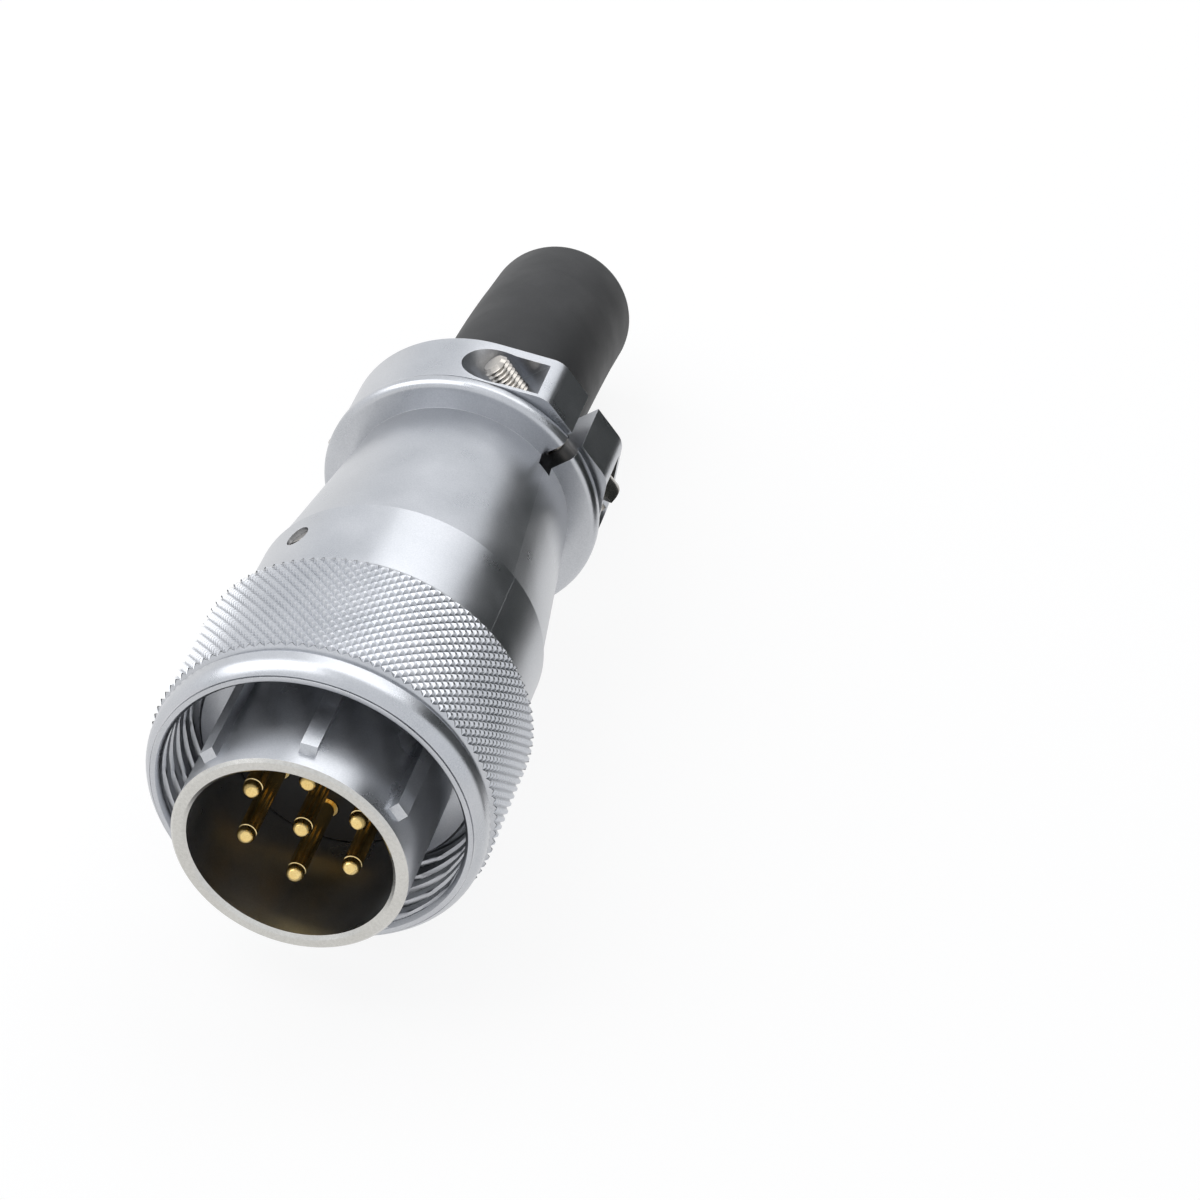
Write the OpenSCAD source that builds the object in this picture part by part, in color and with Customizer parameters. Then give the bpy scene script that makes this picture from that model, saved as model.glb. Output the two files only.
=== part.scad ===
// Circular cable plug, male, seven contacts, with a screw coupling nut and a
// two-piece clamping backshell. Millimetres. The plug lies along Y: the mating
// face is the plane Y = 0, the cable leaves towards +Y and the main key is on top.

/* [Shell] */
// Bore of the barrel that shrouds the contacts
barrel_bore_d = 20.9; // [20:0.1:24]
// Wall of the barrel
barrel_wall = 1.55; // [1.3:0.05:1.8]
// Length of the barrel, from the mating face to the shell's flange
barrel_l = 15.4; // [12:0.1:18]
// Thickness of the flange that the coupling nut pulls on
flange_t = 3; // [2:0.1:4]
// Gap between the flange's edge and the nut's thread
flange_gap = 1.1; // [0.6:0.1:1.4]
// Step from the barrel's outside up to the neck behind the flange
neck_step = 1.2; // [1:0.05:1.6]
// Length of the neck behind the flange
neck_l = 18.6; // [18.4:0.1:22]
// Chamfer inside the barrel's rim
rim_chamfer = 0.35; // [0.1:0.05:0.6]
// Chamfer on the shell's outer edges
shell_edge = 0.3; // [0.1:0.05:0.5]

/* [Polarising keys] */
// Width of a key
key_w = 1.7; // [1:0.1:2.2]
// Height of a key above the barrel
key_h = 0.9; // [0.5:0.1:1.2]
// Distance from the mating face to the front ends of the keys
key_setback = 1.8; // [1:0.1:4]
// Angle between the main key and the keys beside it
key_near = 50; // [40:1:60]
// Angle between the main key and the lower keys
key_far = 130; // [115:1:140]
// Length of the slope at a key's front end
key_slope = 0.45; // [0.2:0.05:0.8]

/* [Contacts] */
// Diameter of a contact pin, in front of the insert
pin_d = 1.9; // [1.4:0.1:2.2]
// Diameter of its shank, inside the insert
pin_shank_d = 2.4; // [2.3:0.1:2.8]
// Diameter of the circle that the six outer pins stand on
pin_circle_d = 12.5; // [11.5:0.1:13.5]
// Distance from the mating face back to the pin tips
pin_setback = 3.4; // [2:0.1:5]
// Diameter of a pin's collar
pin_collar_d = 3.3; // [3:0.1:3.8]
// Length of a pin's collar
pin_collar_l = 2; // [1:0.1:3]
// Diameter of a pin's solder cup
cup_d = 2.6; // [2.4:0.1:2.8]
// Bore of a solder cup
cup_bore_d = 1.8; // [1.4:0.1:2]
// Depth of a solder cup
cup_depth = 4.5; // [3:0.1:5.5]
// Length of a solder cup's open side
cup_open_l = 3.2; // [2:0.1:4]
// Distance from a contact's axis to the edge of that open side
cup_open_at = 0.3; // [0:0.05:0.6]
// Length of a pin behind the inserts
pin_tail_l = 6; // [5.8:0.1:8]

/* [Inserts] */
// Distance from the mating face to the front of the insert
insert_face = 14.2; // [12:0.1:15]
// Length of the insert's nose, in front of its shoulder
insert_nose_l = 3.8; // [3:0.1:5]
// Length of the insert behind its shoulder
insert_body_l = 6; // [4:0.1:7]
// Thickness of the rear insert that locks the contacts
rear_insert_t = 3; // [2:0.1:4]
// Step of the insert's shoulder
insert_step = 0.75; // [0.5:0.05:0.9]
// Thickness of the ring that holds the inserts in
insert_ring_t = 1.1; // [0.8:0.1:1.4]
// Depth of that ring's groove
insert_groove = 0.6; // [0.3:0.1:0.8]
// Radial width of that ring
insert_ring_w = 1.7; // [1.2:0.1:2]

/* [Coupling nut] */
// Distance from the mating face to the nut's front face
nut_front = 6.9; // [5:0.1:9]
// Space between the barrel and the nut's thread, for the mating part's wall
mating_gap = 3.6; // [3:0.1:4]
// Wall of the nut, outside its thread
nut_wall = 2.3; // [2.1:0.1:3]
// Thickness of the lip that bears on the back of the shell's flange
nut_lip_t = 2.3; // [1.5:0.1:3]
// Length of the skirt behind the lip
nut_skirt_l = 3.9; // [3.6:0.1:5]
// Length of the plain land at the nut's front
land_l = 2.8; // [2:0.1:4]
// Height of the knurl's crests above the plain land
land_step = 0.4; // [0.2:0.1:0.6]
// Rounding of the land's front edge
land_round = 1; // [0.5:0.1:1.2]
// Width of the groove between land and knurl
land_groove_w = 0.5; // [0.3:0.1:1]
// Depth of that groove below the land
land_groove_depth = 0.4; // [0.2:0.1:0.6]
// Chamfer at the nut's mouth
mouth_chamfer = 0.5; // [0.2:0.1:0.8]
// Chamfer at the nut's rear edge
nut_rear_chamfer = 0.5; // [0.2:0.1:0.8]
// Thickness of the spring washer behind the lip
washer_t = 0.4; // [0.3:0.1:0.6]
// Radial width of the spring washer
washer_w = 1.5; // [1:0.1:1.8]
// Thickness of the circlip that traps the nut
circlip_t = 1; // [0.8:0.1:1.2]
// Radial width of the circlip
circlip_w = 2; // [1.6:0.1:2.2]
// Depth of the circlip's groove
circlip_groove = 0.7; // [0.4:0.1:0.8]
// Opening between the ends of the circlip, and of the ring that holds the inserts
ring_open_w = 5; // [3:0.5:8]
// Slit in the spring washer
washer_slit_w = 1; // [0.5:0.1:2]

/* [Backshell] */
// Wall of the backshell round the neck
backshell_wall = 2.45; // [2.2:0.05:2.8]
// Length of the round front of the backshell, up to its step
backshell_front_l = 13.3; // [12.6:0.1:16]
// Height of that step
backshell_step = 0.3; // [0.1:0.05:0.6]
// Chamfer at the backshell's front edge
backshell_edge = 0.4; // [0.2:0.05:0.6]
// Length of the taper, from the step to the clamp
taper_l = 22.6; // [20:0.1:30]
// Diameter of the taper where it meets the clamp
taper_end_d = 24.6; // [24:0.1:26]
// Width of the rib that locks the backshell in the neck's groove
lock_rib_w = 1.7; // [1:0.1:2]
// Depth of the neck's locking groove
lock_depth = 0.8; // [0.4:0.1:1]
// Distance from the backshell's front to the locking rib
lock_setback = 6; // [5.6:0.1:6.6]
// Distance from the locking groove to the set screw's axis
set_screw_setback = 2.2; // [2:0.1:3]

/* [Clamp] */
// Length of the round lip at the clamp's front
lip_l = 2; // [1.4:0.1:3]
// Diameter of that lip
lip_d = 31; // [30.4:0.1:32]
// Rounding of the lip's edges
lip_round = 0.8; // [0.4:0.1:0.9]
// Length of the clamp block behind the lip
clamp_l = 7.1; // [6.8:0.1:9]
// Diameter of the clamp block's round back
clamp_d = 30.4; // [29.6:0.1:31]
// Distance from the axis to the flat end of an ear
ear_reach = 15.8; // [15.4:0.1:17]
// Width of an ear, across both halves
ear_w = 14.4; // [12:0.1:15]
// Rounding of an ear's corners
ear_round = 2.5; // [1:0.1:3]
// Gap between the two halves at the clamp
clamp_gap = 1.9; // [1:0.1:3]
// Distance that the gap reaches in front of the clamp
clamp_gap_lead = 1.6; // [0.5:0.1:3]
// Distance from the axis to a clamp screw
screw_offset = 11.2; // [11:0.1:11.6]
// Distance from the lip back to the clamp screws' axes
screw_setback = 3.15; // [3:0.05:3.5]
// Distance from the parting plane to the screw pockets' floors
pocket_floor = 6.5; // [5.5:0.1:7]
// Clearance round a screw head in its pocket
pocket_clear = 0.15; // [0.1:0.05:0.3]
// Width of the slot that opens a pocket to the end of its ear
pocket_slot_w = 5.4; // [3:0.1:5.6]
// Chamfer where the boot leaves the clamp
seat_mouth = 0.6; // [0.2:0.05:0.8]

/* [Fasteners] */
// Diameter of the clamp screws
screw_d = 3; // [2.5:0.1:3.2]
// Length of a clamp screw under its head
screw_l = 18; // [16:0.5:20]
// Diameter of a clamp screw's head
head_d = 5.5; // [5:0.1:5.8]
// Height of a clamp screw's head
head_h = 2.2; // [1.6:0.1:2.6]
// Chamfer round a clamp screw's head
head_edge = 0.3; // [0.1:0.05:0.5]
// Chamfer at a clamp screw's point
screw_point = 0.4; // [0.2:0.05:0.5]
// Width of the slot in a screw head
slot_w = 0.8; // [0.5:0.1:1]
// Depth of that slot
slot_depth = 1; // [0.6:0.1:1.2]
// Width and depth of the slot in the set screw
set_slot = 0.5; // [0.3:0.1:0.8]
// Diameter of the set screw
set_screw_d = 2.6; // [2:0.1:3]
// Length of the set screw
set_screw_l = 1.9; // [1.5:0.1:2.2]

/* [Boot] */
// Outer diameter of the rubber boot in its seat and at its end
boot_d = 17.2; // [16:0.1:17.4]
// Radial relief of the bore along the bend, so that a stiff cable passes
boot_bore_relief = 0.1; // [0.05:0.05:0.3]
// Height by which the drooping stretch swells past that diameter
boot_bulge = 0.15; // [0.1:0.05:0.3]
// Bore of the boot, for the cable
boot_bore_d = 10; // [8:0.1:11]
// Diameter of the collar that keeps the boot in the clamp
boot_collar_d = 20.4; // [19.6:0.1:20.8]
// Length of that collar
boot_collar_l = 3.2; // [2:0.1:4]
// Length of the boot in front of its collar
boot_nose_l = 3.5; // [2:0.1:5]
// Length of the boot's free stretch that droops
boot_bend_l = 31; // [20:1:40]
// Angle by which the free stretch droops
boot_droop = 15; // [4:1:16]
// Length of the straight end of the boot
boot_tail_l = 8.6; // [6:0.1:12]
// Rounding of the boot's rear rim
boot_round = 2.6; // [1:0.1:3]

/* [Fits] */
// Radial clearance where one round piece runs or seats in another
fit = 0.05; // [0.02:0.01:0.08]
// End float of the coupling nut, on each side of its lip
nut_float = 0.3; // [0.15:0.05:0.4]
// Axial clearance of a ring in its groove
groove_play = 0.1; // [0.05:0.05:0.2]
// Radial gap between the nut's skirt and the backshell
skirt_gap = 0.4; // [0.3:0.05:0.5]
// Radial clearance of a clamp screw in the front half's hole
screw_clear = 0.15; // [0.1:0.05:0.2]

/* [Hidden] */
$fn = 96;
EPS = 0.01;

// Radii, from the axis outwards.
barrel_bore_r = barrel_bore_d / 2;
barrel_r = barrel_bore_r + barrel_wall;
insert_nose_r = barrel_bore_r - fit;
shell_bore_r = barrel_bore_r + insert_step;
insert_r = shell_bore_r - fit;
neck_r = barrel_r + neck_step;
nut_thread_r = barrel_r + mating_gap;
flange_r = nut_thread_r - flange_gap;
nut_r = nut_thread_r + nut_wall;
land_r = nut_r - land_step;
nut_lip_r = neck_r + fit;
backshell_bore_r = neck_r + fit;
backshell_r = backshell_bore_r + backshell_wall;
skirt_bore_r = backshell_r + skirt_gap;
lock_groove_r = neck_r - lock_depth;

// Stations along the axis, measured from the mating face towards the cable.
flange_back = barrel_l + flange_t;
shell_end = flange_back + neck_l;
insert_shoulder = insert_face + insert_nose_l;
insert_split = insert_shoulder + insert_body_l;
insert_back = insert_split + rear_insert_t;
nut_lip_front = flange_back + nut_float;
nut_lip_back = nut_lip_front + nut_lip_t;
nut_back = nut_lip_back + nut_skirt_l;
knurl_front = nut_front + land_l + land_groove_w;
washer_front = nut_lip_back + groove_play;
circlip_front = washer_front + washer_t + groove_play;
circlip_back = circlip_front + circlip_t;
backshell_front = circlip_back + nut_float;
lock_front = backshell_front + lock_setback;
lock_back = lock_front + lock_rib_w;
set_screw_at = lock_back + set_screw_setback;
taper_front = backshell_front + backshell_front_l;
clamp_front = taper_front + taper_l;
lip_back = clamp_front + lip_l;
clamp_back = lip_back + clamp_l;
screw_at = lip_back + screw_setback;
collar_back = clamp_front - clamp_gap_lead;
collar_front = collar_back - boot_collar_l;
boot_front = collar_front - boot_nose_l;
boot_bend_r = boot_bend_l / (boot_droop * PI / 180);

// Directions round the axis, from +X towards +Z. The parting plane of the
// backshell leans 45 degrees, so both pairs of screw pockets clear the main key.
main_key_angle = 90;
key_angles = [for (a = [0, key_near, -key_near, key_far, -key_far]) main_key_angle + a];
tapped_half_angle = 135;
screw_half_angle = tapped_half_angle + 180;

// Pin 1 stands in the middle and the others round it, the second one on top.
pin_places = concat([[0, 0]], [for (i = [0:5]) pin_circle_d / 2 * [cos(90 + 60 * i), sin(90 + 60 * i)]]);

// Turns a piece drawn along Z, front end down, to lie along Y.
module along_y() rotate([-90, 0, 0]) children();

// Turns a piece drawn along Z so that its own +Y points at an angle round the axis.
module facing(angle) rotate([0, 0, -angle - 90]) children();

// A plain ring between two stations.
module ring(inner_r, outer_r, from, to) {
    rotate_extrude() translate([inner_r, from]) square([outer_r - inner_r, to - from]);
}

// A ring that is cut open, as a circlip is.
module open_ring(inner_r, outer_r, from, to, gap) {
    difference() {
        ring(inner_r, outer_r, from, to);
        translate([0, -gap / 2, from - EPS]) cube([outer_r + 1, gap, to - from + 2 * EPS]);
    }
}

// One polarising key, along the barrel, with a sloped front end.
module key() {
    top = barrel_r + key_h;
    root = barrel_r - barrel_wall / 2;
    rotate([90, 0, 90]) translate([0, 0, -key_w / 2]) linear_extrude(key_w)
        polygon([[root, key_setback], [barrel_r, key_setback], [top, key_setback + key_slope],
            [top, barrel_l + flange_t / 2], [root, barrel_l + flange_t / 2]]);
}

module plug_shell() {
    color("silver") along_y() difference() {
        union() {
            rotate_extrude() polygon([
                [barrel_bore_r + rim_chamfer, 0], [barrel_r - shell_edge, 0], [barrel_r, shell_edge],
                [barrel_r, barrel_l], [flange_r - shell_edge, barrel_l], [flange_r, barrel_l + shell_edge],
                [flange_r, flange_back], [neck_r, flange_back], [neck_r, shell_end], [shell_bore_r, shell_end],
                [shell_bore_r, insert_shoulder], [barrel_bore_r, insert_shoulder],
                [barrel_bore_r, rim_chamfer]]);
            for (a = key_angles) rotate([0, 0, -a]) rotate([0, 0, -90]) key();
        }
        ring(neck_r - circlip_groove, neck_r + 1, circlip_front - groove_play / 2,
            circlip_back + groove_play / 2);
        ring(lock_groove_r, neck_r + 1, lock_front - groove_play, lock_back + groove_play);
        ring(shell_bore_r - 1, shell_bore_r + insert_groove, insert_back,
            insert_back + insert_ring_t + groove_play);
    }
}

module coupling_nut() {
    face = nut_front;
    round_z = face + land_round;
    color("lightgray") along_y() difference() {
        rotate_extrude() union() {
            polygon([
                [nut_thread_r, face + mouth_chamfer], [nut_thread_r + mouth_chamfer, face],
                [land_r - land_round, face], [land_r - land_round, round_z], [land_r, round_z],
                [land_r, face + land_l], [land_r - land_groove_depth, face + land_l],
                [land_r - land_groove_depth, knurl_front], [land_r, knurl_front], [nut_r, knurl_front + land_step],
                [nut_r, nut_back - nut_rear_chamfer], [nut_r - nut_rear_chamfer, nut_back],
                [skirt_bore_r, nut_back], [skirt_bore_r, nut_lip_back], [nut_lip_r, nut_lip_back],
                [nut_lip_r, nut_lip_front], [nut_thread_r, nut_lip_front]]);
            intersection() {
                translate([land_r - land_round, round_z]) circle(land_round);
                translate([land_r - land_round, face]) square(land_round);
            }
        }
    }
}

module nut_spring_washer() {
    color("gray") along_y()
        open_ring(neck_r + fit, neck_r + fit + washer_w, washer_front, washer_front + washer_t, washer_slit_w);
}

module nut_circlip() {
    inner_r = neck_r - circlip_groove + fit;
    color("dimgray") along_y() open_ring(inner_r, inner_r + circlip_w, circlip_front, circlip_back, ring_open_w);
}

module front_insert() {
    color([0.08, 0.07, 0.06]) along_y() difference() {
        union() {
            translate([0, 0, insert_face]) cylinder(r = insert_nose_r, h = insert_nose_l);
            translate([0, 0, insert_shoulder]) cylinder(r = insert_r, h = insert_body_l);
        }
        for (p = pin_places) translate([p.x, -p.y, 0]) {
            translate([0, 0, insert_face - 1])
                cylinder(d = pin_shank_d + 2 * fit, h = insert_split - insert_face + 2);
            translate([0, 0, insert_split - pin_collar_l])
                cylinder(d = pin_collar_d + 2 * fit, h = pin_collar_l + 1);
        }
    }
}

module rear_insert() {
    color([0.1, 0.09, 0.08]) along_y() difference() {
        translate([0, 0, insert_split]) cylinder(r = insert_r, h = rear_insert_t);
        for (p = pin_places) translate([p.x, -p.y, insert_split - 1])
            cylinder(d = cup_d + 2 * fit, h = rear_insert_t + 2);
    }
}

module insert_retaining_ring() {
    outer_r = shell_bore_r + insert_groove - fit;
    color("dimgray") along_y()
        open_ring(outer_r - insert_ring_w, outer_r, insert_back, insert_back + insert_ring_t, ring_open_w);
}

// A turned contact: domed pin, collar, and a solder cup cut open on one side.
module contact_pin(i) {
    p = pin_places[i];
    tail_end = insert_back + pin_tail_l;
    color("gold") along_y() translate([p.x, -p.y, 0]) difference() {
        union() {
            translate([0, 0, pin_setback + pin_d / 2]) {
                sphere(d = pin_d);
                cylinder(d = pin_d, h = insert_split - pin_setback - pin_d / 2);
            }
            translate([0, 0, insert_face]) cylinder(d = pin_shank_d, h = insert_split - insert_face);
            translate([0, 0, insert_split - pin_collar_l]) cylinder(d = pin_collar_d, h = pin_collar_l);
            translate([0, 0, insert_split]) cylinder(d = cup_d, h = tail_end - insert_split);
        }
        translate([0, 0, tail_end - cup_depth]) cylinder(d = cup_bore_d, h = cup_depth + 1);
        translate([-cup_d, -cup_d - cup_open_at, tail_end - cup_open_l]) cube([2 * cup_d, cup_d, cup_depth]);
    }
}

// The outline of the clamp block: a round back blended into two flat-ended ears.
module clamp_outline() {
    round_r = clamp_d / 2;
    cx = ear_reach - ear_round;
    cy = ear_w / 2 - ear_round;
    lean = atan2(cy, cx) + acos((round_r - ear_round) / norm([cx, cy]));
    tangent = [cos(lean), sin(lean)];
    ear_side = [[ear_reach, 0], [ear_reach, cy], [cx, cy] + ear_round * tangent, round_r * tangent];
    circle(round_r);
    for (sx = [-1, 1], sy = [-1, 1]) in_quadrant(sx, sy) {
        polygon(concat([[0, 0]], ear_side));
        translate([cx, cy]) circle(ear_round);
    }
}

// Reflects a quarter outline into another quadrant.
module in_quadrant(sx, sy) mirror([sx < 0 ? 1 : 0, 0]) mirror([0, sy < 0 ? 1 : 0]) children();

// The outside of the whole backshell, before it is parted.
module backshell_outside() {
    rotate_extrude() polygon([
        [0, backshell_front], [backshell_r - backshell_edge, backshell_front],
        [backshell_r, backshell_front + backshell_edge], [backshell_r, taper_front],
        [backshell_r - backshell_step, taper_front + backshell_step],
        [taper_end_d / 2, clamp_front], [taper_end_d / 2, lip_back], [0, lip_back]]);
    translate([0, 0, clamp_front]) clamp_lip();
    translate([0, 0, lip_back - EPS]) linear_extrude(clamp_l + EPS) clamp_outline();
}

// The round lip in front of the clamp block, with rounded edges.
module clamp_lip() {
    r = lip_d / 2;
    rotate_extrude() union() {
        square([r - lip_round, lip_l]);
        translate([0, lip_round]) square([r, lip_l - 2 * lip_round]);
        for (z = [lip_round, lip_l - lip_round]) translate([r - lip_round, z]) circle(lip_round);
    }
}

// The hollow of the backshell: neck bore, taper, collar pocket and boot seat.
module backshell_inside() {
    seat_r = boot_d / 2 + fit;
    pocket_r = boot_collar_d / 2 + fit;
    rotate_extrude() polygon([
        [0, backshell_front - 1], [backshell_bore_r, backshell_front - 1], [backshell_bore_r, lock_front],
        [lock_groove_r + fit, lock_front], [lock_groove_r + fit, lock_back], [backshell_bore_r, lock_back],
        [backshell_bore_r, shell_end + 1], [pocket_r, collar_front - 1], [pocket_r, collar_back],
        [seat_r, collar_back], [seat_r, clamp_back - seat_mouth], [seat_r + seat_mouth, clamp_back],
        [seat_r + seat_mouth, clamp_back + 1], [0, clamp_back + 1]]);
}

// One half of the backshell, with its parting face on the plane Y = 0 and the
// clamp's screws along Y. The hole in its ears is a clearance or a tapping size.
module backshell_half(hole_d) {
    reach = backshell_r + clamp_d;
    pocket_r = head_d / 2 + pocket_clear;
    difference() {
        intersection() {
            backshell_outside();
            translate([-reach, 0, 0]) cube([2 * reach, reach, clamp_back + 1]);
        }
        backshell_inside();
        translate([-reach, -1, collar_back]) cube([2 * reach, 1 + clamp_gap / 2, clamp_back]);
        for (s = [-1, 1]) translate([s * screw_offset, 0, screw_at]) {
            rotate([-90, 0, 0]) cylinder(d = hole_d, h = reach);
            translate([0, pocket_floor, 0]) rotate([-90, 0, 0]) cylinder(r = pocket_r, h = reach);
            translate([s > 0 ? 0 : -reach, pocket_floor, -pocket_slot_w / 2]) cube([reach, reach, pocket_slot_w]);
        }
    }
}

module backshell_tapped_half() {
    color("silver") along_y() facing(tapped_half_angle) difference() {
        backshell_half(screw_d + 2 * fit);
        translate([0, 0, set_screw_at]) rotate([-90, 0, 0])
            cylinder(d = set_screw_d + 2 * fit, h = backshell_r + 1);
    }
}

module backshell_screw_half() {
    color("silver") along_y() facing(screw_half_angle) backshell_half(screw_d + 2 * screw_clear);
}

// A cheese-head screw through both ears, head in the pocket of the screw half.
module clamp_screw(side) {
    color("gainsboro") along_y() facing(screw_half_angle)
        translate([side * screw_offset, pocket_floor, screw_at]) rotate([90, 0, 0]) difference() {
            rotate_extrude() polygon([
                [0, -head_h], [head_d / 2 - head_edge, -head_h], [head_d / 2, head_edge - head_h],
                [head_d / 2, 0], [screw_d / 2, 0], [screw_d / 2, screw_l - screw_point],
                [screw_d / 2 - screw_point, screw_l], [0, screw_l]]);
            translate([-head_d, -slot_w / 2, -head_h - 1]) cube([2 * head_d, slot_w, slot_depth + 1]);
        }
}

// A headless screw with a driving slot, from the backshell's outside to the neck.
module set_screw() {
    color("gray") along_y() facing(tapped_half_angle)
        translate([0, neck_r + fit, set_screw_at]) rotate([-90, 0, 0]) difference() {
            cylinder(d = set_screw_d, h = set_screw_l);
            translate([-set_screw_d, -set_slot / 2, set_screw_l - set_slot])
                cube([2 * set_screw_d, set_slot, 2 * set_slot]);
        }
}

// Places what is drawn along Z at the end of the boot's drooping stretch.
module at_boot_end() {
    translate([0, boot_bend_r, clamp_back]) rotate([90, 0, -90]) rotate([0, 0, boot_droop])
        translate([boot_bend_r, 0, 0]) rotate([-90, 0, 0]) children();
}

// The drooping stretch itself, a round bar bent downwards behind the clamp.
module boot_bend(d) {
    translate([0, boot_bend_r, clamp_back]) rotate([90, 0, -90])
        rotate_extrude(angle = boot_droop) translate([boot_bend_r, 0]) circle(d = d);
}

// The straight end of the boot, with its rounded rear rim.
module boot_tail() {
    r = boot_d / 2;
    at_boot_end() rotate_extrude() union() {
        square([r - boot_round, boot_tail_l]);
        square([r, boot_tail_l - boot_round]);
        translate([r - boot_round, boot_tail_l - boot_round]) circle(boot_round);
    }
}

// The bore for the cable, open at both ends.
module boot_bore() {
    translate([0, 0, boot_front - 1]) cylinder(d = boot_bore_d, h = clamp_back - boot_front + 1);
    boot_bend(boot_bore_d + 2 * boot_bore_relief);
    at_boot_end() cylinder(d = boot_bore_d, h = boot_tail_l + 1);
}

module cable_boot() {
    color([0.13, 0.13, 0.14]) along_y() difference() {
        union() {
            translate([0, 0, boot_front]) cylinder(d = boot_d, h = clamp_back - boot_front);
            translate([0, 0, collar_front]) cylinder(d = boot_collar_d, h = boot_collar_l);
            boot_bend(boot_d + 2 * boot_bulge);
            boot_tail();
        }
        boot_bore();
    }
}

plug_shell();
coupling_nut();
nut_spring_washer();
nut_circlip();
front_insert();
rear_insert();
insert_retaining_ring();
for (i = [0:6]) contact_pin(i);
backshell_tapped_half();
backshell_screw_half();
clamp_screw(1);  // clamp_screw_1
clamp_screw(-1);  // clamp_screw_2
set_screw();
cable_boot();
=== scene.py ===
import math

import bmesh
import bpy
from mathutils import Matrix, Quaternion, Vector


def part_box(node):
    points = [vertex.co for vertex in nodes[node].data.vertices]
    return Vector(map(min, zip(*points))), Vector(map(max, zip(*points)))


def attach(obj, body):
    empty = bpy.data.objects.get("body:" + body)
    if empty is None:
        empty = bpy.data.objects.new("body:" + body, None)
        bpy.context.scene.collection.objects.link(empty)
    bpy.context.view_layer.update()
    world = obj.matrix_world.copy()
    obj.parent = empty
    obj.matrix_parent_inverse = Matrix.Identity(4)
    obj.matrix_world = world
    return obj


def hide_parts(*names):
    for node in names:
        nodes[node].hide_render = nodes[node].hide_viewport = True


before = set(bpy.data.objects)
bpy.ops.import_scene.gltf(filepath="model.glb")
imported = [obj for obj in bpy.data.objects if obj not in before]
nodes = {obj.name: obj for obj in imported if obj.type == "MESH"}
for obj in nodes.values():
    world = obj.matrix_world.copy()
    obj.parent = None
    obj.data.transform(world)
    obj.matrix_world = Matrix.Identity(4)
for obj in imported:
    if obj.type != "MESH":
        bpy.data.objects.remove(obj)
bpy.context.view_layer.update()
MM = 0.001


# Shell: the keyed barrel, its flange and neck, one turned and milled zinc casting
# with a bright machined rim. Facets of the solid are merged, then its edges broken.
def finish_mesh(mesh, name, body, material, sharp):
    """Turns a bmesh into a smooth-shaded piece that rides on a body."""
    bmesh.ops.recalc_face_normals(mesh, faces=mesh.faces)
    for face in mesh.faces:
        face.smooth = True
    for edge in mesh.edges:
        edge.smooth = len(edge.link_faces) == 2 and edge.calc_face_angle(0) < math.radians(sharp)
    data = bpy.data.meshes.new(name)
    mesh.to_mesh(data)
    mesh.free()
    piece = bpy.data.objects.new(name, data)
    bpy.context.scene.collection.objects.link(piece)
    data.materials.append(material)
    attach(piece, body)
    return piece


def break_edges(piece, width):
    """Rounds every edge sharper than 30 degrees."""
    rounding = piece.modifiers.new("broken edges", "BEVEL")
    rounding.width = width
    rounding.segments = 2
    rounding.limit_method = "ANGLE"
    rounding.angle_limit = math.radians(30)
    rounding.harden_normals = True


def from_solid(node, name, body, material, width):
    """A piece with the surface of a solid, its facets merged and its edges broken."""
    mesh = bmesh.new()
    mesh.from_mesh(nodes[node].data)
    bmesh.ops.remove_doubles(mesh, verts=mesh.verts, dist=0.002 * MM)
    bmesh.ops.dissolve_limit(mesh, angle_limit=math.radians(0.5), verts=mesh.verts, edges=mesh.edges)
    piece = finish_mesh(mesh, name, body, material, 30)
    break_edges(piece, width)
    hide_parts(node)
    return piece


def link(tree, source, output, target, socket):
    tree.links.new(source.outputs[output], target.inputs[socket])


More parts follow.
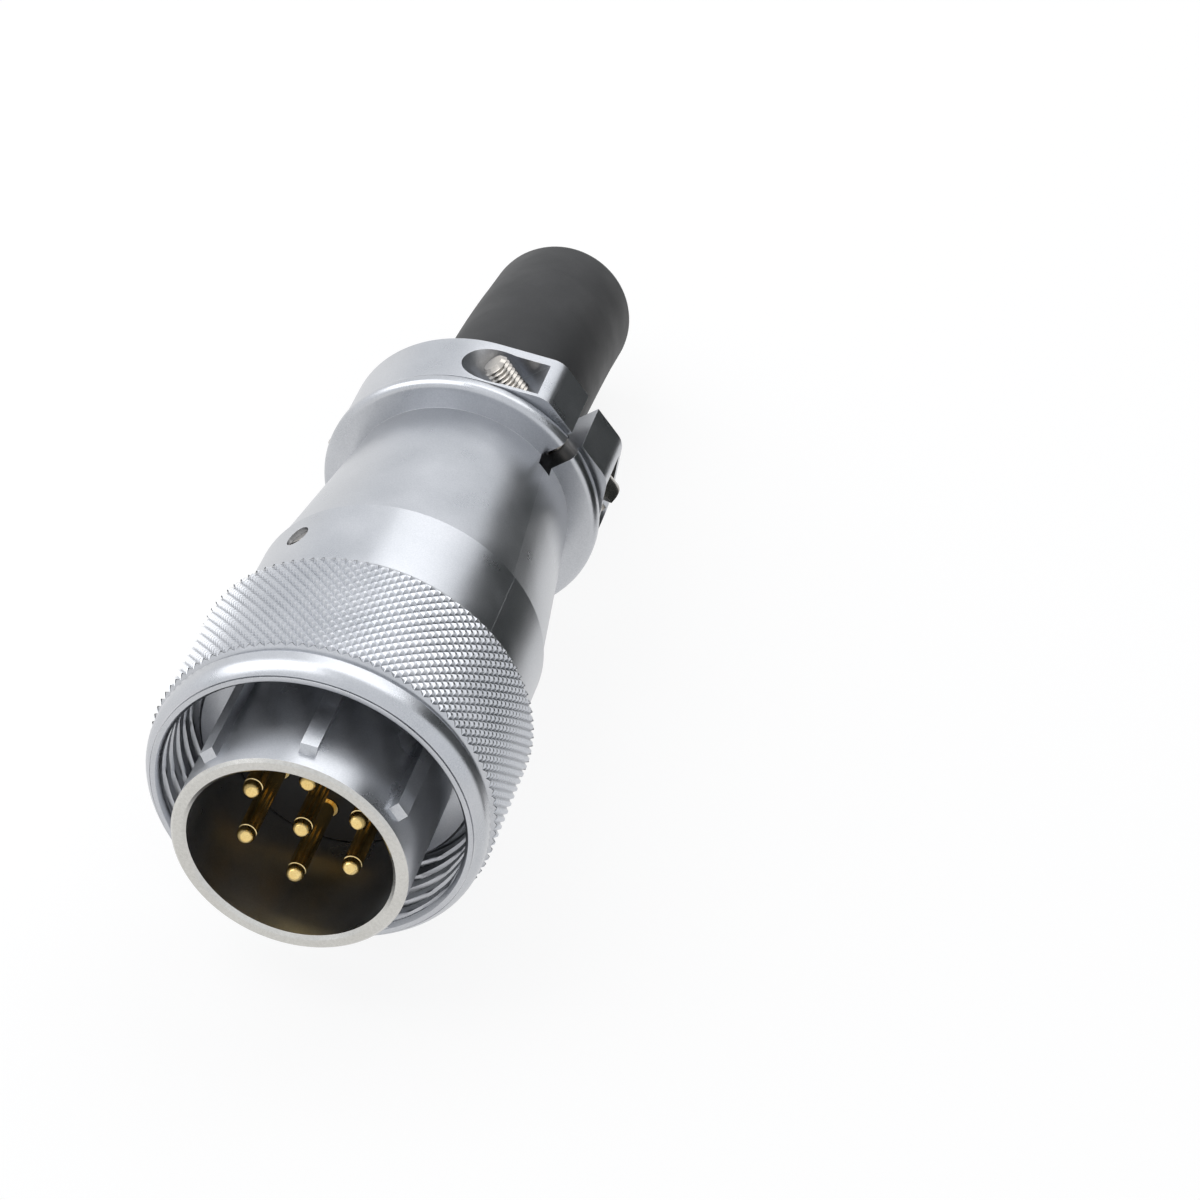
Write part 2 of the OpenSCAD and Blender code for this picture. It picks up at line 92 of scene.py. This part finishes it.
def surface(name, low, high, rough, metal, grain, bump, edge_highlight_and_wear=None, highlight_and_wear_width=0.12, patch=6):
    """A finish: colour between two tones, roughness that varies, a fine grain and lighter edges, partly rubbed
    and partly a painted edge highlight.

    grain and patch are cells per millimetre and millimetres per patch.
    """
    material = bpy.data.materials.new(name)
    material.use_nodes = True
    tree = material.node_tree
    shader = tree.nodes["Principled BSDF"]
    shader.inputs["Metallic"].default_value = metal
    place = tree.nodes.new("ShaderNodeTexCoord")
    broad = tree.nodes.new("ShaderNodeTexNoise")
    broad.inputs["Scale"].default_value = 1 / (patch * MM)
    broad.inputs["Detail"].default_value = 5
    link(tree, place, "Object", broad, "Vector")
    fine = tree.nodes.new("ShaderNodeTexNoise")
    fine.inputs["Scale"].default_value = grain / MM
    fine.inputs["Detail"].default_value = 2
    link(tree, place, "Object", fine, "Vector")
    tone = tree.nodes.new("ShaderNodeValToRGB")
    tone.color_ramp.elements[0].position = 0.3
    tone.color_ramp.elements[0].color = (*low, 1)
    tone.color_ramp.elements[1].position = 0.7
    tone.color_ramp.elements[1].color = (*high, 1)
    blend = tree.nodes.new("ShaderNodeMath")
    blend.operation = "MULTIPLY_ADD"
    blend.inputs[1].default_value = 0.5
    link(tree, fine, "Fac", blend, 0)
    half = tree.nodes.new("ShaderNodeMath")
    half.operation = "MULTIPLY"
    half.inputs[1].default_value = 0.5
    link(tree, broad, "Fac", half, 0)
    link(tree, half, "Value", blend, 2)
    link(tree, blend, "Value", tone, "Fac")
    colour = tone
    spread = tree.nodes.new("ShaderNodeMapRange")
    spread.inputs["From Min"].default_value = 0.25
    spread.inputs["From Max"].default_value = 0.75
    spread.inputs["To Min"].default_value = rough[0]
    spread.inputs["To Max"].default_value = rough[1]
    link(tree, broad, "Fac", spread, "Value")
    link(tree, spread, "Result", shader, "Roughness")
    relief = tree.nodes.new("ShaderNodeBump")
    relief.inputs["Strength"].default_value = bump
    relief.inputs["Distance"].default_value = 0.02 * MM
    link(tree, fine, "Fac", relief, "Height")
    link(tree, relief, "Normal", shader, "Normal")
    # Lighter edges: partly rubbed edges, partly a painted edge highlight, broken into patches.
    if edge_highlight_and_wear:
        rounded = tree.nodes.new("ShaderNodeBevel")
        rounded.samples = 4
        rounded.inputs["Radius"].default_value = highlight_and_wear_width * MM
        flat = tree.nodes.new("ShaderNodeNewGeometry")
        turn = tree.nodes.new("ShaderNodeVectorMath")
        turn.operation = "DOT_PRODUCT"
        link(tree, rounded, "Normal", turn, 0)
        link(tree, flat, "Normal", turn, 1)
        edge = tree.nodes.new("ShaderNodeMapRange")
        edge.inputs["From Min"].default_value = 0.99
        edge.inputs["From Max"].default_value = 0.86
        link(tree, turn, "Value", edge, "Value")
        highlight_and_wear_mix = tree.nodes.new("ShaderNodeMix")
        highlight_and_wear_mix.data_type = "RGBA"
        highlight_and_wear_mix.inputs["B"].default_value = (*edge_highlight_and_wear, 1)
        patchy_highlight_and_wear = tree.nodes.new("ShaderNodeMath")
        patchy_highlight_and_wear.operation = "MULTIPLY"
        link(tree, edge, "Result", patchy_highlight_and_wear, 0)
        link(tree, broad, "Fac", patchy_highlight_and_wear, 1)
        link(tree, patchy_highlight_and_wear, "Value", highlight_and_wear_mix, "Factor")
        link(tree, tone, "Color", highlight_and_wear_mix, "A")
        colour = highlight_and_wear_mix
    link(tree, colour, 0 if colour is tone else "Result", shader, "Base Color")
    return material


# Its last tone is the lighter edge colour: partly rubbed edges, partly a painted edge highlight.
chrome = surface("satin chrome on zinc", (0.46, 0.475, 0.50), (0.60, 0.61, 0.635), (0.25, 0.36),
                 1, 7, 0.35, edge_highlight_and_wear=(0.80, 0.80, 0.81))
bright = surface("machined rim", (0.53, 0.52, 0.49), (0.66, 0.65, 0.62), (0.2, 0.3), 1, 3, 0.15)
shell = from_solid("plug_shell", "shell", "plug", chrome, 0.12 * MM)
shell.data.materials.append(bright)
for face in shell.data.polygons:
    if face.center.y < 0.4 * MM and face.normal.y < -0.5:
        face.material_index = 1


# Inserts: two near-black mouldings that hold the seven contacts, and their ring. The mouldings' tones are
# darker than the black plastic itself: partly its own colour, partly painted shade deep inside the barrel.
# Its last tone is the lighter edge colour: partly rubbed edges, partly a painted edge highlight.
moulding = surface("thermoset moulding", (0.004, 0.003, 0.0025), (0.012, 0.009, 0.006), (0.42, 0.6),
                   0, 4, 0.3, edge_highlight_and_wear=(0.09, 0.08, 0.07))
from_solid("front_insert", "contact_insert", "plug", moulding, 0.1 * MM)
from_solid("rear_insert", "contact_lock", "plug", moulding, 0.1 * MM)
# Its last tone is the lighter edge colour: partly rubbed edges, partly a painted edge highlight.
spring = surface("spring steel", (0.24, 0.24, 0.25), (0.44, 0.44, 0.45), (0.3, 0.45), 1, 5, 0.3,
                 edge_highlight_and_wear=(0.7, 0.7, 0.7))
from_solid("insert_retaining_ring", "insert_ring", "plug", spring, 0.08 * MM)


# Contacts: seven turned brass pins under gold, each with a domed tip, a fine turned
# line behind it, a collar in the insert and a solder cup cut open on one side.
def spun(profile, steps, closed=True):
    """A bmesh made by spinning (radius, station) points round the plug's axis."""
    mesh = bmesh.new()
    points = [mesh.verts.new((0, y, radius)) for radius, y in profile]
    pairs = list(zip(points, points[1:])) + ([(points[-1], points[0])] if closed else [])
    edges = [mesh.edges.new(pair) for pair in pairs]
    bmesh.ops.spin(mesh, geom=points + edges, cent=(0, 0, 0), axis=(0, 1, 0), angle=2 * math.pi,
                   steps=steps, use_merge=True)
    bmesh.ops.remove_doubles(mesh, verts=mesh.verts, dist=0.002 * MM)
    return mesh


def arc(centre, radius, start, end, count):
    """Points of a round, with its angles from the +radius direction towards the cable."""
    turns = [math.radians(start + (end - start) * k / count) for k in range(count + 1)]
    return [(centre[0] + radius * math.cos(t), centre[1] + radius * math.sin(t)) for t in turns]


def cut_notch(mesh, planes):
    """Removes what lies inside all of the planes' inner sides and closes the cut."""
    for point, normal in planes:
        bmesh.ops.bisect_plane(mesh, geom=mesh.verts[:] + mesh.edges[:] + mesh.faces[:], dist=1e-7,
                               plane_co=point, plane_no=normal)
    inside = [f for f in mesh.faces
              if all((f.calc_center_median() - p).dot(n) < -1e-7 for p, n in planes)]
    bmesh.ops.delete(mesh, geom=inside, context="FACES")
    for point, normal in planes:
        open_edges = [e for e in mesh.edges if e.is_boundary]
        on = [e for e in open_edges if all(abs((v.co - point).dot(normal)) < 1e-6 for v in e.verts)]
        if on:
            bmesh.ops.edgenet_prepare(mesh, edges=on)
            on = [e for e in mesh.edges if (e.is_boundary or e.is_wire)
                  and all(abs((v.co - point).dot(normal)) < 1e-6 for v in e.verts)]
            bmesh.ops.edgenet_fill(mesh, edges=on)


# Its last tone is the lighter edge colour: partly rubbed edges, partly a painted edge highlight.
gold = surface("gold plating", (0.74, 0.50, 0.17), (0.93, 0.72, 0.32), (0.14, 0.24), 1, 6, 0.2,
               edge_highlight_and_wear=(1.0, 0.88, 0.6), patch=1.5)
PIN = 0.95 * MM
LINE_DEPTH = 0.07 * MM
CUP_DEPTH = 4.5 * MM
WINDOW = 3.2 * MM
for i in range(1, 8):
    low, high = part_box(f"contact_pin_{i}")
    tip, tail = low.y, high.y
    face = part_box("front_insert")[0].y
    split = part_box("rear_insert")[0].y
    profile = [(0, tip)] + arc((0, tip + PIN), PIN, -80, 0, 8) + [
        (PIN, tip + 1.15 * MM), (PIN - LINE_DEPTH, tip + 1.2 * MM), (PIN - LINE_DEPTH, tip + 1.3 * MM),
        (PIN, tip + 1.35 * MM), (PIN, face), (1.2 * MM, face), (1.2 * MM, split - 2 * MM),
        (1.65 * MM, split - 2 * MM), (1.65 * MM, split), (1.3 * MM, split), (1.3 * MM, tail),
        (0.9 * MM, tail), (0.9 * MM, tail - CUP_DEPTH), (0, tail - CUP_DEPTH)]
    pin = spun(profile, 32, closed=False)
    cut_notch(pin, [(Vector((0, tail - WINDOW, 0)), Vector((0, -1, 0))),
                    (Vector((0, 0, -0.3 * MM)), Vector((0, 0, 1)))])
    bmesh.ops.translate(pin, verts=pin.verts, vec=((low.x + high.x) / 2, 0, (low.z + high.z) / 2))
    contact = finish_mesh(pin, f"contact_{i}", "plug", gold, 35)
    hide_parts(f"contact_pin_{i}")


# Coupling nut: a turned ring with a diamond knurl rolled round it, a stepped front
# and a coarse thread inside for the receptacle. It turns on the neck behind its lip.
NUT_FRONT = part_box("coupling_nut")[0].y
NUT_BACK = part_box("coupling_nut")[1].y
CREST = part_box("coupling_nut")[1].x
ROOT = CREST - 0.36 * MM
FLANK = 0.27 * MM
LAND = CREST - 0.4 * MM
LIP_FRONT = NUT_FRONT + 11.8 * MM
LIP_BACK = LIP_FRONT + 2.3 * MM
MINOR = CREST - 2.3 * MM
PITCH = 2.0 * MM
THREAD_DEPTH = 0.6 * MM
KNURL_FRONT = NUT_FRONT + 3.5 * MM
KNURL_BACK = NUT_BACK - 0.45 * MM
AROUND = 100
ROWS = 12


def nut_profile():
    f, b = NUT_FRONT, NUT_BACK
    front = [(LAND, f + 2.8 * MM), (LAND, f + 1.9 * MM), (LAND - 0.04 * MM, f + 1.5 * MM),
             (LAND - 0.13 * MM, f + 1.15 * MM), (LAND - 0.28 * MM, f + 0.84 * MM),
             (LAND - 0.44 * MM, f + 0.62 * MM), (LAND - 0.82 * MM, f + 0.18 * MM),
             (LAND - 0.88 * MM, f + 0.15 * MM), (LAND - 0.9 * MM, f + 0.24 * MM),
             (LAND - 0.98 * MM, f + 0.24 * MM), (LAND - 1.0 * MM, f + 0.02 * MM), (LAND - 1.05 * MM, f),
             (MINOR + 0.42 * MM, f), (MINOR + 0.34 * MM, f + 0.06 * MM), (MINOR + 0.03 * MM, f + 0.46 * MM)]
    bore = [(MINOR, f + (0.6 + 0.14 * k) * MM) for k in range(int((LIP_FRONT - f) / (0.14 * MM)) - 4)]
    inside = [(MINOR, LIP_FRONT), (13.45 * MM, LIP_FRONT), (13.25 * MM, LIP_FRONT + 0.2 * MM),
              (13.25 * MM, LIP_BACK - 0.2 * MM), (13.45 * MM, LIP_BACK), (16.1 * MM, LIP_BACK),
              (16.1 * MM, b - 0.2 * MM), (16.3 * MM, b), (ROOT - 0.3 * MM, b), (ROOT - 0.04 * MM, b - 0.2 * MM)]
    knurl = [(ROOT, KNURL_BACK + (KNURL_FRONT - KNURL_BACK) * k / ROWS) for k in range(ROWS + 1)]
    groove = [(ROOT - 0.1 * MM, KNURL_FRONT - 0.08 * MM), (LAND - 0.4 * MM, KNURL_FRONT - 0.2 * MM),
              (LAND - 0.4 * MM, f + 2.95 * MM), (LAND - 0.3 * MM, f + 2.86 * MM)]
    return front + bore + inside + knurl + groove


def to_radius(v, radius):
    """Moves a point straight out from the axis, or in, to a radius."""
    stretch = radius / math.hypot(v.co.x, v.co.z)
    v.co.x *= stretch
    v.co.z *= stretch


def on_band(v):
    """Whether a point is on the plain band that the knurl is rolled on."""
    return (KNURL_FRONT - 1e-6 < v.co.y < KNURL_BACK + 1e-6
            and abs(math.hypot(v.co.x, v.co.z) - ROOT) < 0.02 * MM)


def roll_knurl(mesh):
    """Diamonds between crossing grooves, pressed outwards from the band."""
    band = [f for f in mesh.faces if all(on_band(v) for v in f.verts)]
    seams = [e for e in {e for f in band for e in f.edges}
             if len(e.link_faces) == 2 and all(f in band for f in e.link_faces)]
    hubs = bmesh.ops.poke(mesh, faces=band, center_mode="MEAN")["verts"]
    for v in hubs:
        to_radius(v, ROOT)
    bmesh.ops.dissolve_edges(mesh, edges=seams, use_verts=False, use_face_split=False)
    diamonds = list({f for v in hubs if v.is_valid for f in v.link_faces})
    bmesh.ops.recalc_face_normals(mesh, faces=mesh.faces)
    bmesh.ops.inset_individual(mesh, faces=diamonds, thickness=FLANK, depth=0.0, use_even_offset=True)
    for f in diamonds:
        for v in f.verts:
            to_radius(v, CREST - 0.01 * MM)


def cut_thread(mesh):
    """Broad lands between narrow right-hand grooves, run out at both ends."""
    for v in mesh.verts:
        radius = math.hypot(v.co.x, v.co.z)
        if abs(radius - MINOR) > 1e-6 or v.co.y > LIP_FRONT - 0.3 * MM:
            continue
        turn = (v.co.y / PITCH - math.atan2(v.co.x, v.co.z) / (2 * math.pi)) % 1
        depth = min(1, max(0, (0.24 - abs(turn - 0.5)) / 0.1))
        runout = min(1, max(0, (v.co.y - NUT_FRONT - 0.5 * MM) / MM),
                     max(0, (LIP_FRONT - 1 * MM - v.co.y) / MM))
        deeper = 1 + THREAD_DEPTH * depth * runout / radius
        v.co.x *= deeper
        v.co.z *= deeper


ring = spun(nut_profile(), AROUND)
roll_knurl(ring)
cut_thread(ring)
nut = finish_mesh(ring, "knurled_nut", "coupling_nut", chrome, 26)
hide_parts("coupling_nut")


# Washer and circlip: the spring steel rings that hold the nut on the neck.
for node in ("nut_spring_washer", "nut_circlip"):
    from_solid(node, node.replace("nut_", ""), "plug", spring, 0.08 * MM)


# Backshell: two cast halves, parted along their length, that close over the neck and
# clamp the boot. Each ear has a pocket for a screw.
for node, name in (("backshell_tapped_half", "tapped_half"), ("backshell_screw_half", "screw_half")):
    from_solid(node, name, "plug", chrome, 0.16 * MM)


# Fasteners: two slotted cheese-head screws with rolled threads through the ears, and
# a slotted set screw that locks the backshell to the neck.
# Its last tone is the lighter edge colour: partly rubbed edges, partly a painted edge highlight.
nickel = surface("nickel on steel", (0.40, 0.375, 0.34), (0.60, 0.57, 0.53), (0.22, 0.34), 1, 8, 0.2,
                 edge_highlight_and_wear=(0.8, 0.77, 0.73), highlight_and_wear_width=0.06)
ACROSS = Vector((-math.sin(math.radians(45)), 0, math.cos(math.radians(45))))
UNDER_HEAD = 7.9 * MM


def along_screw(mesh, seat, direction):
    """Moves a screw drawn along +Y, its head's seat at the origin, to its place."""
    turn = Vector((0, 1, 0)).rotation_difference(direction).to_matrix()
    bmesh.ops.rotate(mesh, verts=mesh.verts, cent=(0, 0, 0), matrix=turn)
    bmesh.ops.translate(mesh, verts=mesh.verts, vec=seat)


def screw_mesh(radius, length, pitch, head, height, slot, slot_depth):
    """A slotted cheese-head screw, threaded up to its head."""
    step = pitch / 6
    start = 0.4 * MM
    rows = int((length - start - 0.35 * MM) / step)
    shank = [(radius, start + step * k) for k in range(rows)]
    profile = [(0, -height), (head - 0.3 * MM, -height), (head - 0.09 * MM, -height + 0.06 * MM),
               (head, -height + 0.3 * MM), (head, -0.1 * MM), (head - 0.1 * MM, 0), (radius, 0)] + shank + [
               (radius - 0.35 * MM, length), (0, length)]
    mesh = spun(profile, 36, closed=False)
    for v in mesh.verts:
        away = math.hypot(v.co.x, v.co.z)
        if abs(away - radius) < 1e-6 and v.co.y > start - 1e-6:
            turn = (v.co.y / pitch - math.atan2(v.co.x, v.co.z) / (2 * math.pi)) % 1
            run_in = min(1, (v.co.y - start) / pitch)
            cut = 1 - 0.27 * MM * (1 - abs(2 * turn - 1)) * run_in / away
            v.co.x *= cut
            v.co.z *= cut
    half = slot / 2
    floor_at = slot_depth - height
    cut_notch(mesh, [(Vector((half, 0, 0)), Vector((1, 0, 0))), (Vector((-half, 0, 0)), Vector((-1, 0, 0))),
                     (Vector((0, floor_at, 0)), Vector((0, 1, 0)))])
    return mesh


for node, name in (("clamp_screw_1", "clamp_screw_right"), ("clamp_screw_2", "clamp_screw_left")):
    low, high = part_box(node)
    mesh = screw_mesh(radius=1.5 * MM, length=18 * MM, pitch=0.5 * MM, head=2.75 * MM, height=2.2 * MM,
                      slot=0.8 * MM, slot_depth=1.0 * MM)
    along_screw(mesh, (low + high) / 2 - ACROSS * UNDER_HEAD, ACROSS)
    screw = finish_mesh(mesh, name, "plug", nickel, 40)
    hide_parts(node)
from_solid("set_screw", "grub_screw", "plug", nickel, 0.06 * MM)


# Boot: a moulded rubber sleeve, held by its collar in the clamp and drooping behind.
# Its last tone is the lighter edge colour: partly rubbed edges, partly a painted edge highlight.
rubber = surface("charcoal rubber", (0.009, 0.0095, 0.0105), (0.019, 0.0195, 0.021), (0.5, 0.66), 0, 5, 0.5,
                 edge_highlight_and_wear=(0.05, 0.05, 0.053), highlight_and_wear_width=0.3)
BOOT_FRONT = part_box("cable_boot")[0].y
CLAMP_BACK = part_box("backshell_tapped_half")[1].y
BEND = 31 * MM
DROOP = math.radians(15)
END = CLAMP_BACK + BEND + 8.6 * MM


def boot_profile():
    """Outside from the front to the rounded rim, then the bore back, along the sleeve."""
    r, b, f = 8.6 * MM, 5 * MM, BOOT_FRONT
    collar = [(r, f + 0.2 * MM), (r, f + 3.3 * MM), (r + 0.2 * MM, f + 3.5 * MM), (10.0 * MM, f + 3.5 * MM),
              (10.2 * MM, f + 3.7 * MM), (10.2 * MM, f + 6.5 * MM), (10.0 * MM, f + 6.7 * MM),
              (r, f + 6.7 * MM), (r, f + 10 * MM), (r, f + 14 * MM)]
    sleeve = [(r + 0.12 * MM * math.sin(math.pi * k / 30), CLAMP_BACK + BEND * k / 30) for k in range(31)]
    rim = arc((r - 2.6 * MM, END - 2.6 * MM), 2.6 * MM, 0, 90, 10)
    mouth = [(b + 0.4 * MM, END), (b + 0.1 * MM, END - 0.1 * MM), (b, END - 0.4 * MM)]
    bore = [(b, CLAMP_BACK + BEND * (30 - k) / 30) for k in range(31)]
    return [(r - 0.2 * MM, f)] + collar + sleeve + rim + mouth + bore + [(b, f + 0.2 * MM), (b + 0.2 * MM, f)]


def droop(mesh):
    """Bends the straight sleeve down behind the clamp, then lets it run on straight."""
    bend_radius = BEND / DROOP
    for v in mesh.verts:
        past = v.co.y - CLAMP_BACK
        if past <= 0:
            continue
        turn = min(past, BEND) / bend_radius
        rest = max(0, past - BEND)
        arm = bend_radius + v.co.z
        v.co.y = CLAMP_BACK + arm * math.sin(turn) + rest * math.cos(turn)
        v.co.z = -bend_radius + arm * math.cos(turn) - rest * math.sin(turn)


sleeve = spun(boot_profile(), 96)
droop(sleeve)
boot = finish_mesh(sleeve, "boot", "plug", rubber, 35)
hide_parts("cable_boot")


# Floor: a pale sheet that touches the nut's lowest point and slopes to the boot's far
# end. The camera and the reflections see it white, but for the plug's shadow.
low_nut = min((v.co.copy() for v in nodes["coupling_nut"].data.vertices), key=lambda p: (round(p.z, 6), -p.y))
slope = min((v.co.z - low_nut.z) / (v.co.y - low_nut.y) for v in nodes["cable_boot"].data.vertices
            if v.co.y > 90 * MM)
sheet = bmesh.new()
bmesh.ops.create_grid(sheet, x_segments=1, y_segments=1, size=3)
for v in sheet.verts:
    v.co.z = low_nut.z + slope * (v.co.y - low_nut.y)
floor_data = bpy.data.meshes.new("floor")
sheet.to_mesh(floor_data)
sheet.free()
floor = bpy.data.objects.new("floor", floor_data)
bpy.context.scene.collection.objects.link(floor)
paper = bpy.data.materials.new("white sheet")
paper.use_nodes = True
tree = paper.node_tree
matt = tree.nodes["Principled BSDF"]
matt.inputs["Base Color"].default_value = (0.86, 0.86, 0.87, 1)
matt.inputs["Roughness"].default_value = 0.9
matt.inputs["Specular IOR Level"].default_value = 0.1
glow = tree.nodes.new("ShaderNodeEmission")
glow.inputs["Strength"].default_value = 1.1
rays = tree.nodes.new("ShaderNodeLightPath")
seen = tree.nodes.new("ShaderNodeMath")
seen.operation = "ADD"
seen.use_clamp = True
link(tree, rays, "Is Camera Ray", seen, 0)
link(tree, rays, "Is Glossy Ray", seen, 1)
share = tree.nodes.new("ShaderNodeMath")
share.operation = "MULTIPLY"
share.inputs[1].default_value = 0.8
link(tree, seen, "Value", share, 0)
mixed = tree.nodes.new("ShaderNodeMixShader")
link(tree, share, "Value", mixed, "Fac")
tree.links.new(matt.outputs["BSDF"], mixed.inputs[1])
tree.links.new(glow.outputs["Emission"], mixed.inputs[2])
link(tree, mixed, "Shader", tree.nodes["Material Output"], "Surface")
floor_data.materials.append(paper)


# Studio: one broad lamp from the left, a weaker one behind, a black flag on the right.
world = bpy.data.worlds.new("studio")
bpy.context.scene.world = world
world.use_nodes = True
tree = world.node_tree
air = tree.nodes["Background"]
air.inputs["Color"].default_value = (0.95, 0.97, 1.0, 1)
rays = tree.nodes.new("ShaderNodeLightPath")
seen = tree.nodes.new("ShaderNodeMath")
seen.operation = "ADD"
link(tree, rays, "Is Camera Ray", seen, 0)
link(tree, rays, "Is Glossy Ray", seen, 1)
plus = tree.nodes.new("ShaderNodeMath")
plus.operation = "ADD"
plus.use_clamp = True
link(tree, seen, "Value", plus, 0)
link(tree, rays, "Is Transmission Ray", plus, 1)
strength = tree.nodes.new("ShaderNodeMapRange")
strength.inputs["To Min"].default_value = 0.3
strength.inputs["To Max"].default_value = 1.0
link(tree, plus, "Value", strength, "Value")
link(tree, strength, "Result", air, "Strength")


def lamp(name, place, aim, width, height, power):
    light = bpy.data.lights.new(name, "AREA")
    light.shape = "RECTANGLE"
    light.size = width
    light.size_y = height
    light.energy = power
    holder = bpy.data.objects.new(name, light)
    bpy.context.scene.collection.objects.link(holder)
    holder.location = place
    holder.rotation_euler = (Vector(aim) - Vector(place)).to_track_quat("-Z", "Y").to_euler()


lamp("key lamp", (-0.55, 0.02, 0.55), (0, 0.05, 0), 0.8, 0.8, 3.2)
lamp("top lamp", (0.05, 0.5, 0.7), (0, 0.05, 0), 0.7, 0.5, 1.4)


def card(name, corners, tone):
    """A flat card that only reflections see, given by two opposite corners of its plane."""
    (x0, y0, z0), (x1, y1, z1) = corners
    board = bmesh.new()
    bmesh.ops.create_grid(board, x_segments=1, y_segments=1, size=0.5)
    for v in board.verts:
        across, up = v.co.x + 0.5, v.co.y + 0.5
        v.co = Vector((x0 + (x1 - x0) * across, y0 + (y1 - y0) * across, z0 + (z1 - z0) * up))
    data = bpy.data.meshes.new(name)
    board.to_mesh(data)
    board.free()
    flag = bpy.data.objects.new(name, data)
    bpy.context.scene.collection.objects.link(flag)
    flag.visible_camera = flag.visible_shadow = flag.visible_diffuse = False
    finish = bpy.data.materials.new(name)
    finish.use_nodes = True
    shader = finish.node_tree.nodes["Principled BSDF"]
    shader.inputs["Base Color"].default_value = (*tone, 1)
    shader.inputs["Roughness"].default_value = 0.9
    data.materials.append(finish)


card("black flag", ((0.05, 0.03, -0.02), (0.06, 0.22, 0.06)), (0.03, 0.034, 0.033))


# Camera: a long lens in front of the mating face, above it and a little to the right.
camera_data = bpy.data.cameras.new("camera")
camera_data.lens = 105
camera_data.sensor_width = 36
camera = bpy.data.objects.new("camera", camera_data)
bpy.context.scene.collection.objects.link(camera)
camera.location = (0.05216, -0.2329, 0.2396)
forward = Vector((-0.09053, 0.75947, -0.64421))
camera.rotation_mode = "QUATERNION"
camera.rotation_quaternion = forward.to_track_quat("-Z", "Y") @ Quaternion((0, 0, 1), math.radians(11.9))
bpy.context.scene.camera = camera
bpy.context.scene.view_settings.view_transform = "Standard"
